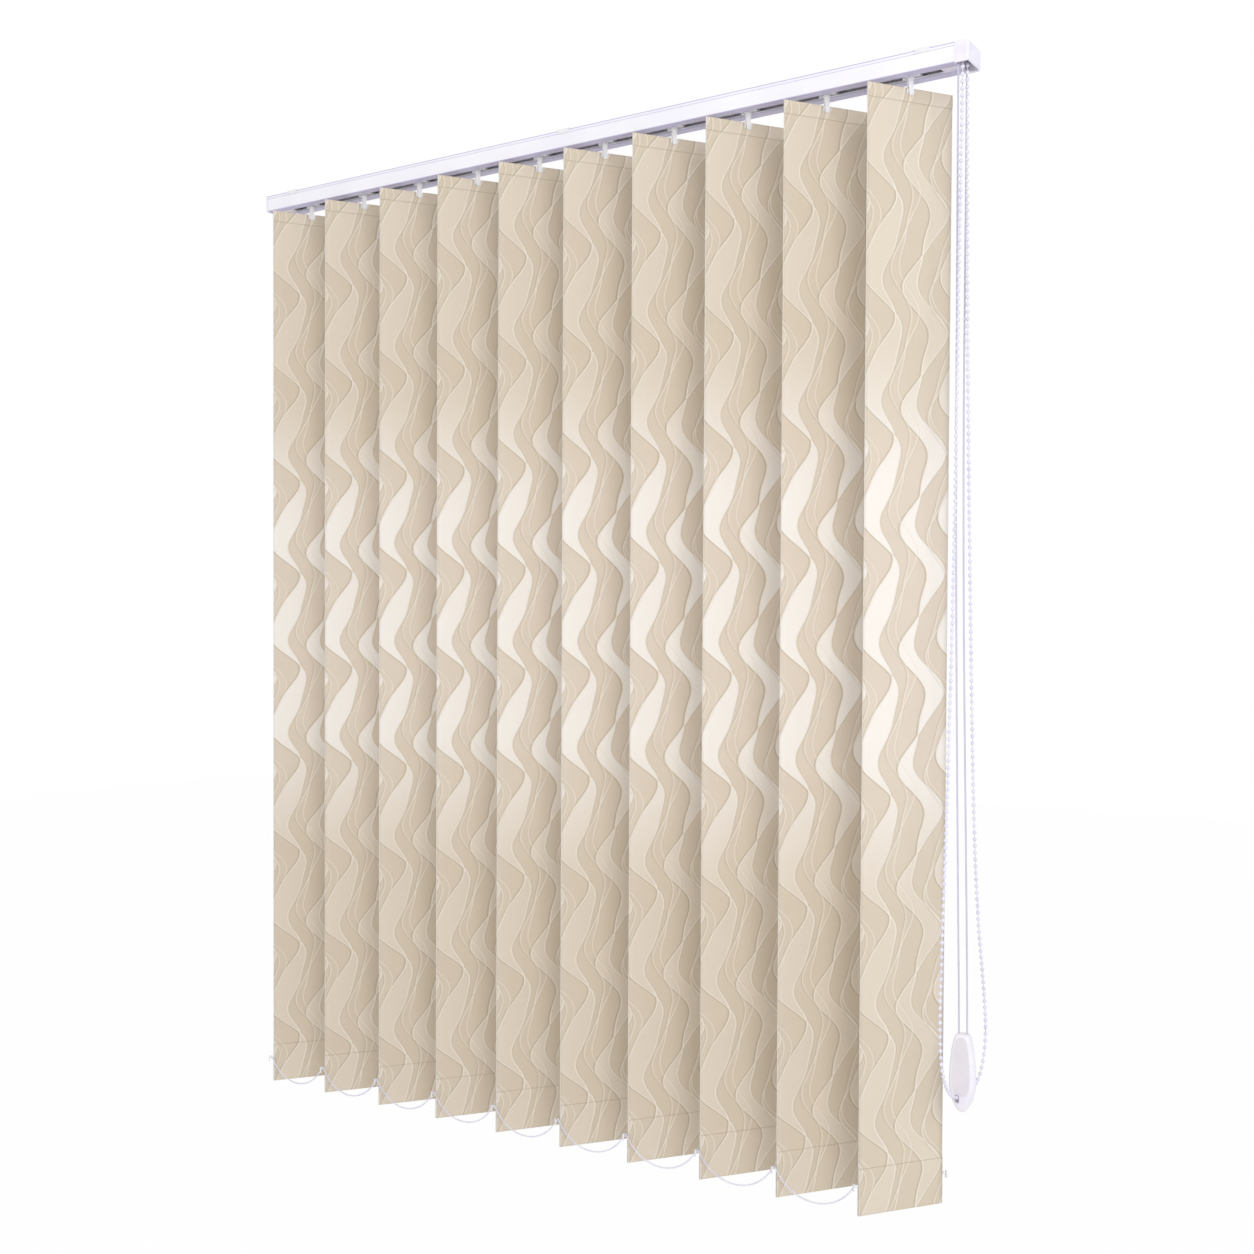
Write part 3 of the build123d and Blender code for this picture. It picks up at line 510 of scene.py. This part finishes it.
weave, weave_in, weave_out = node_group(
    "plain weave",
    [("Across", "NodeSocketFloat", 0.0), ("Along", "NodeSocketFloat", 0.0),
     ("Pitch", "NodeSocketFloat", 0.0006)],
    [("Thread", "NodeSocketFloat"), ("Height", "NodeSocketFloat")])
weave_turn = math_node(weave, "DIVIDE", math.tau, weave_in.outputs["Pitch"])
weft = math_node(weave, "SINE", math_node(weave, "MULTIPLY", weave_in.outputs["Across"], weave_turn))
warp = math_node(weave, "SINE", math_node(weave, "MULTIPLY", weave_in.outputs["Along"], weave_turn))
thread = math_node(weave, "MULTIPLY", weft, warp)
weave.links.new(step_between(weave, thread, -0.8, 0.8), weave_out.inputs["Thread"])
weave.links.new(thread, weave_out.inputs["Height"])

leaves, leaves_in, leaves_out = node_group(
    "leaf waves",
    [("Across", "NodeSocketFloat", 0.0), ("Along", "NodeSocketFloat", 0.0),
     ("Repeat", "NodeSocketFloat", 0.155), ("Spacing", "NodeSocketFloat", 0.118),
     ("Sway", "NodeSocketFloat", 0.0175), ("Line", "NodeSocketFloat", 0.0017)],
    [("Leaf", "NodeSocketFloat"), ("Light Line", "NodeSocketFloat"), ("Painted Edge Shadow", "NodeSocketFloat"),
     ("Height", "NodeSocketFloat")])
repeats = math_node(leaves, "DIVIDE", leaves_in.outputs["Along"], leaves_in.outputs["Repeat"])
height_turn = math_node(leaves, "MULTIPLY", repeats, math.tau)
line_width = leaves_in.outputs["Line"]
edge_shadow_reach = math_node(leaves, "MULTIPLY", line_width, 1.3)
leaf_masks, light_lines, edge_shadow_lines = [], [], []
# Each set of leaves sways by its own share and delay, so the sets run together and part again.
for shift, phase, widest, share, delay in (
        (20.797, 0.0, 0.150, 1.0, 0.0), (20.297, math.pi / 2, 0.125, 1.12, 0.4),
        (20.54, 0.9, 0.06, 0.8, -0.5), (20.06, 2.3, 0.05, 0.95, 0.8)):
    swing_turn = math_node(leaves, "ADD", height_turn, delay)
    double_swing = math_node(leaves, "SINE", math_node(leaves, "MULTIPLY", swing_turn, 2.0))
    sway = math_node(leaves, "ADD", math_node(leaves, "SINE", swing_turn),
                     math_node(leaves, "MULTIPLY", double_swing, 0.24))
    furthest = math_node(leaves, "MULTIPLY", leaves_in.outputs["Sway"], share)
    swayed = math_node(leaves, "ADD", leaves_in.outputs["Across"],
                       math_node(leaves, "MULTIPLY", sway, furthest))
    column = math_node(leaves, "DIVIDE", swayed, leaves_in.outputs["Spacing"])
    in_column = math_node(leaves, "FRACT", math_node(leaves, "ADD", column, shift))
    off_axis = math_node(leaves, "SUBTRACT", in_column, 0.5)
    half_turn = math_node(leaves, "MULTIPLY", height_turn, 0.5)
    swell = math_node(leaves, "ABSOLUTE", math_node(
        leaves, "SINE", math_node(leaves, "ADD", half_turn, phase + 0.35)))
    half_leaf = math_node(leaves, "MULTIPLY", swell, widest)
    past_leaf = math_node(leaves, "SUBTRACT", math_node(leaves, "ABSOLUTE", off_axis), half_leaf)
    beyond = math_node(leaves, "MULTIPLY", past_leaf, leaves_in.outputs["Spacing"])
    if widest > 0.1:
        leaf_masks.append(step_between(leaves, beyond, 0.0003, -0.0003))
    fading = math_node(leaves, "ADD", math_node(leaves, "MULTIPLY", swell, -0.35), 1.0)
    on_edge = step_between(leaves, math_node(leaves, "ABSOLUTE", beyond), line_width, 0.0)
    light_lines.append(math_node(leaves, "MULTIPLY", fading, on_edge))
    # Painted shade: a dark line just outside each leaf edge, stronger on the left-hand edges, stands in for
    # the shadow of the raised edge.
    left_side = step_between(leaves, off_axis, 0.02, -0.02)
    shadow = math_node(leaves, "ADD", math_node(leaves, "MULTIPLY", left_side, 0.6), 0.25)
    outside = math_node(leaves, "ABSOLUTE", math_node(leaves, "SUBTRACT", beyond, edge_shadow_reach))
    edge_shadow_lines.append(math_node(leaves, "MULTIPLY", step_between(leaves, outside, edge_shadow_reach, 0.0), shadow))
leaf = math_node(leaves, "MAXIMUM", *leaf_masks)


def strongest(lines, small_share):
    """The stronger of the two large sets' lines and of a share of the two small sets' lines."""
    large = math_node(leaves, "MAXIMUM", lines[0], lines[1])
    small = math_node(leaves, "MAXIMUM", lines[2], lines[3])
    return math_node(leaves, "MAXIMUM", large, math_node(leaves, "MULTIPLY", small, small_share))


light_line, painted_edge_shadow = strongest(light_lines, 0.7), strongest(edge_shadow_lines, 0.5)
leaves.links.new(leaf, leaves_out.inputs["Leaf"])
leaves.links.new(light_line, leaves_out.inputs["Light Line"])
leaves.links.new(painted_edge_shadow, leaves_out.inputs["Painted Edge Shadow"])
raised = math_node(leaves, "ADD", math_node(leaves, "MULTIPLY", leaf, 0.5), light_line)
leaves.links.new(math_node(leaves, "SUBTRACT", raised, painted_edge_shadow), leaves_out.inputs["Height"])

cloth_finish, tree, shader = new_finish("beige leaf jacquard", 0.62, Sheen_Weight=0.15, Sheen_Roughness=0.4)
cloth_place = tree.nodes.new("ShaderNodeSeparateXYZ")
tree.links.new(place(tree), cloth_place.inputs[0])
across = math_node(tree, "DIVIDE", cloth_place.outputs["Y"], math.sin(louvre_turn))
along = cloth_place.outputs["Z"]
pattern = tree.nodes.new("ShaderNodeGroup")
pattern.node_tree = leaves
tree.links.new(across, pattern.inputs["Across"])
tree.links.new(along, pattern.inputs["Along"])
threads = tree.nodes.new("ShaderNodeGroup")
threads.node_tree = weave
tree.links.new(across, threads.inputs["Across"])
tree.links.new(along, threads.inputs["Along"])
# Painted sheen: the ground and the satin leaves are painted paler in a band at mid-height of the drop,
# standing in for light on the cloth there.
mid_drop_painted_sheen = math_node(tree, "MULTIPLY", step_between(tree, along, -1.13, -0.86),
                   step_between(tree, along, -0.34, -0.56))
slubs = tree.nodes.new("ShaderNodeTexNoise")
slubs.inputs["Scale"].default_value = 26.0
slubs.inputs["Detail"].default_value = 3.0
tree.links.new(place(tree), slubs.inputs["Vector"])
ground = blend_colour(tree, mid_drop_painted_sheen, linear(0.868, 0.816, 0.738), linear(0.905, 0.852, 0.790))
satin = blend_colour(tree, mid_drop_painted_sheen, linear(0.893, 0.843, 0.775), linear(0.980, 0.957, 0.930))
from_top_weld = math_node(tree, "ABSOLUTE", math_node(tree, "SUBTRACT", along, louvre_top - 0.0180))
from_hem_weld = math_node(tree, "ABSOLUTE", math_node(tree, "SUBTRACT", along, louvre_bottom + 0.0610))
welds = math_node(tree, "MAXIMUM", step_between(tree, from_top_weld, 0.0008, 0.0),
                  step_between(tree, from_hem_weld, 0.0008, 0.0))
cut_edge = step_between(tree, math_node(tree, "ABSOLUTE", across), 0.0624, 0.0631)


def tint(tree, under, mask, share, colour):
    """Lays a colour over another by a share of a mask."""
    return blend_colour(tree, math_node(tree, "MULTIPLY", mask, share), under, linear(*colour))


ground = tint(tree, ground, slubs.outputs["Fac"], 0.25, (0.79, 0.73, 0.64))
cloth = blend_colour(tree, pattern.outputs["Leaf"], ground, satin)
# Painted shadow beside the leaf edges.
cloth = tint(tree, cloth, pattern.outputs["Painted Edge Shadow"], 0.6, (0.69, 0.63, 0.53))
cloth = tint(tree, cloth, pattern.outputs["Light Line"], 1.0, (0.975, 0.950, 0.912))
cloth = tint(tree, cloth, threads.outputs["Thread"], 0.10, (0.72, 0.66, 0.57))
cloth = tint(tree, cloth, welds, 0.55, (0.66, 0.60, 0.51))
cloth = tint(tree, cloth, cut_edge, 0.7, (0.96, 0.94, 0.91))
tree.links.new(cloth, shader.inputs["Base Color"])
tree.links.new(step_between(tree, pattern.outputs["Leaf"], 0.0, 1.0, 0.72, 0.42), shader.inputs["Roughness"])
relief = math_node(tree, "ADD", pattern.outputs["Height"],
                   math_node(tree, "MULTIPLY", threads.outputs["Height"], 0.25))
relief = math_node(tree, "SUBTRACT", relief, math_node(tree, "MULTIPLY", welds, 1.2))
bump_from(tree, relief, shader, 0.00025)

# Side view of the cloth: distance from the louvre's plane, and height above its top or bottom
# edge, in millimetres.
fold_at_top = [
    (0.62, -18.5), (0.66, -16.8), (0.80, -14.5), (0.80, -11), (0.80, -7.5), (0.80, -4), (0.80, -1.0),
    (0.62, -0.55), (0.30, -0.33), (0.0, -0.30), (-0.30, -0.33), (-0.62, -0.55), (-0.80, -1.0),
    (-0.80, -4), (-0.80, -7.5), (-0.80, -11), (-0.80, -14.5), (-0.55, -17.3), (0.0, -19.5)]
plain_start, plain_length, plain_steps = -19.5, 1364.0, 56
plain_run = [(0.0, plain_start - plain_length * step / plain_steps) for step in range(1, plain_steps)]
fold_at_bottom = [
    (0.0, 66.5), (-0.5, 62.8), (-1.1, 60.0), (-1.2, 57.0), (-1.2, 40.0), (-1.2, 20.0), (-1.2, 4.0),
    (-1.2, 1.4), (-0.95, 0.75), (-0.5, 0.38), (0.0, 0.30), (0.5, 0.38), (0.95, 0.75), (1.2, 1.4),
    (1.2, 4.0), (1.2, 20.0), (1.2, 40.0), (1.2, 57.0), (0.95, 60.0), (0.62, 62.0)]
cloth_profile = ([(n, louvre_top + 0.001 * z) for n, z in fold_at_top + plain_run]
                 + [(n, louvre_bottom + 0.001 * z) for n, z in fold_at_bottom])
half_cloth, half_notch, notch_depth = 63.5, 5.5, 0.0075
columns = [-half_cloth, -56, -48, -40, -32, -24, -16, -10, -half_notch,
           half_notch, 10, 16, 24, 32, 40, 48, 56, half_cloth]
chance = random.Random(7)
for number in louvre_numbers:
    axis_x = louvre_pitch * (number - middle_number)
    bow, sweep, lean = chance.uniform(-0.5, 0.9), chance.uniform(0.3, 1.2), chance.uniform(0, math.tau)
    form = bmesh.new()
    rows = []
    for n, z in cloth_profile:
        loose = math.sin(math.pi * min(max((louvre_top - z) / (louvre_top - louvre_bottom), 0.0), 1.0))
        row = []
        for u in columns:
            side_share = u / half_cloth
            push = loose * (bow * (1 - side_share ** 2)
                            + sweep * 0.5 * side_share * math.sin(4.1 * z + lean))
            normal = 0.001 * (n + push)
            row.append(form.verts.new((
                axis_x + 0.001 * u * math.cos(louvre_turn) - normal * math.sin(louvre_turn),
                0.001 * u * math.sin(louvre_turn) + normal * math.cos(louvre_turn), z)))
        rows.append(row)
    for upper, lower in zip(rows, rows[1:]):
        middle_z = (upper[0].co.z + lower[0].co.z) / 2
        for index in range(len(columns) - 1):
            in_notch = columns[index] == -half_notch and middle_z > louvre_top - notch_depth
            if not in_notch:
                form.faces.new((upper[index], lower[index], lower[index + 1], upper[index + 1]))
    for lost in [v for v in form.verts if not v.link_faces]:
        form.verts.remove(lost)
    for face in form.faces:
        face.smooth = True
    mesh = bpy.data.meshes.new(f"louvre_cloth_{number:02d}")
    form.to_mesh(mesh)
    form.free()
    louvre = show(f"louvre_cloth_{number:02d}", mesh, cloth_finish)
    thickness = louvre.modifiers.new("cloth", "SOLIDIFY")
    thickness.thickness, thickness.offset = 0.0005, 0.0
    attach(louvre, f"hung_louvre_{number:02d}")
    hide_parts(f"louvre_{number:02d}")


# Stabiliser chains: two light chains of small white balls, one in front and one behind, looped
# over the pins of all the bottom weights. They fold up between the louvres as these are drawn.
pin_level = louvre_bottom + 0.039
chain_seat_radius, stabiliser_sag = 0.067, 0.033
chain_gap, pin_radius, stabiliser_radius = 0.0003, 0.0008, 0.0010
seat = (chain_seat_radius * math.cos(louvre_turn), chain_seat_radius * math.sin(louvre_turn))
half_pitch = louvre_pitch / 2
over_pin = chain_gap + (pin_radius + stabiliser_radius) / math.sin(louvre_turn)
sag_drop = stabiliser_sag + over_pin
hang_radius = (half_pitch ** 2 + sag_drop ** 2) / (2 * sag_drop) - over_pin
hang_centre = pin_level + over_pin - sag_drop + hang_radius
swing = math.atan2(half_pitch, hang_centre - pin_level)
pin_steps, hang_steps, fine_pitch = 6, 40, 0.0040
fine_ball, fine_half_length, fine_cord = 0.00135, 0.00145, 0.0005


def arc(middle_x, middle_y, middle_z, radius, first_angle, turned_by, steps):
    """Points along an upright arc; with a negative radius it hangs below its centre."""
    angles = [first_angle + turned_by * step / steps for step in range(steps)]
    return [Vector((middle_x + radius * math.sin(angle), middle_y, middle_z + radius * math.cos(angle)))
            for angle in angles]


for side, word in ((-1, "front"), (1, "back")):
    fine_line = []
    for number in range(1, 10):
        pin_x, pin_y = louvre_pitch * (number - middle_number) + side * seat[0], side * seat[1]
        fine_line += arc(pin_x, pin_y, pin_level, over_pin, 0.0, swing, pin_steps)
        fine_line += arc(pin_x + half_pitch, pin_y, hang_centre, -hang_radius, swing, -2 * swing, hang_steps)
        fine_line += arc(pin_x + louvre_pitch, pin_y, pin_level, over_pin, -swing, swing, pin_steps)
    spots = spaced(fine_line, fine_pitch, 0.0)
    stabiliser = bead_chain(f"{word}_ball_chain", fine_line, spots, fine_ball, fine_half_length, fine_cord,
                            bead_finish)
    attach(stabiliser, f"{word}_stabiliser")
    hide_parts(f"{word}_chain")
    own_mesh(stabiliser)


# Studio: a plain pale floor under the blind, a white surround, and large soft lamps that give
# an even light from the room's side.
floor_mesh = bpy.data.meshes.new("floor")
reach, level = 6, -1.62
floor_mesh.from_pydata([(-reach, -reach, level), (reach, -reach, level), (reach, reach, level),
                        (-reach, reach, level)], [], [(0, 1, 2, 3)])
floor_finish = bpy.data.materials.new("pale floor")
floor_finish.use_nodes = True
tree = floor_finish.node_tree
tree.nodes.clear()
surface = tree.nodes.new("ShaderNodeOutputMaterial")
matte = tree.nodes.new("ShaderNodeBsdfDiffuse")
matte.inputs["Color"].default_value = (0.88, 0.88, 0.88, 1.0)
glow = tree.nodes.new("ShaderNodeEmission")
glow.inputs["Color"].default_value = (1.0, 1.0, 1.0, 1.0)
path_kind = tree.nodes.new("ShaderNodeLightPath")
choose = tree.nodes.new("ShaderNodeMixShader")
seen = math_node(tree, "MULTIPLY", math_node(tree, "MAXIMUM", path_kind.outputs["Is Camera Ray"],
                                            path_kind.outputs["Is Glossy Ray"]), 0.97)
tree.links.new(seen, choose.inputs["Fac"])
tree.links.new(matte.outputs["BSDF"], choose.inputs[1])
tree.links.new(glow.outputs["Emission"], choose.inputs[2])
tree.links.new(choose.outputs["Shader"], surface.inputs["Surface"])
show("floor", floor_mesh, floor_finish)

world = bpy.data.worlds.new("studio")
bpy.context.scene.world = world
world.use_nodes = True
tree = world.node_tree
sky = tree.nodes["Background"]
sky.inputs["Color"].default_value = (1.0, 1.0, 1.0, 1.0)
path_kind = tree.nodes.new("ShaderNodeLightPath")
seen = math_node(tree, "MAXIMUM", path_kind.outputs["Is Camera Ray"],
                 math_node(tree, "MAXIMUM", path_kind.outputs["Is Glossy Ray"],
                           path_kind.outputs["Is Transmission Ray"]))
tree.links.new(step_between(tree, seen, 0.0, 1.0, 0.78, 1.0), sky.inputs["Strength"])

for name, at, aim, size, power in (
        ("key", (2.6, -2.4, 0.2), (0.0, 0.0, -0.75), 1.4, 39.0),
        ("fill", (-1.8, -2.8, -0.2), (0.0, 0.0, -0.75), 2.0, 6.0)):
    lamp = bpy.data.lights.new(name, "AREA")
    lamp.size, lamp.energy = size, power
    holder = bpy.data.objects.new(name, lamp)
    bpy.context.scene.collection.objects.link(holder)
    holder.location = at
    holder.rotation_euler = (Vector(aim) - Vector(at)).to_track_quat("-Z", "Y").to_euler()
